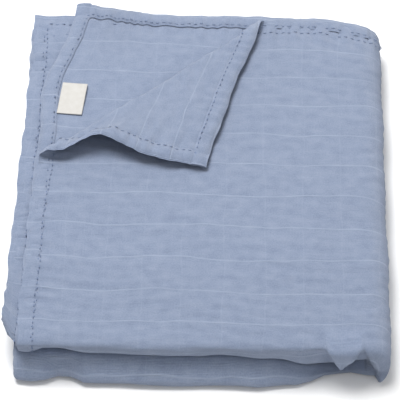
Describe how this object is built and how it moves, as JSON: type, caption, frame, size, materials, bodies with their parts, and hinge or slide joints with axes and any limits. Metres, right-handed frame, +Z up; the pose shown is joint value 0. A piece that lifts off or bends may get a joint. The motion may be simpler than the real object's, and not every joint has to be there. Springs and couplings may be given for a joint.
{
  "type": "folded swaddle blanket",
  "caption": "Folded muslin swaddle blanket with hemmed edges, its top corner turned back over a small sewn-in label.",
  "frame": {"origin": "middle of the bounding box's underside", "axes": "+X from the hemmed side towards the rolled side, +Y from the folded front towards the hemmed back, +Z up"},
  "size_m": [0.28, 0.3298, 0.0504],
  "materials": {
    "blanket": "dusty blue cotton muslin",
    "label": "off-white woven tape"
  },
  "bodies": {
    "root": {"blanket": "blanket", "label": "label"}
  },
  "joints": []
}
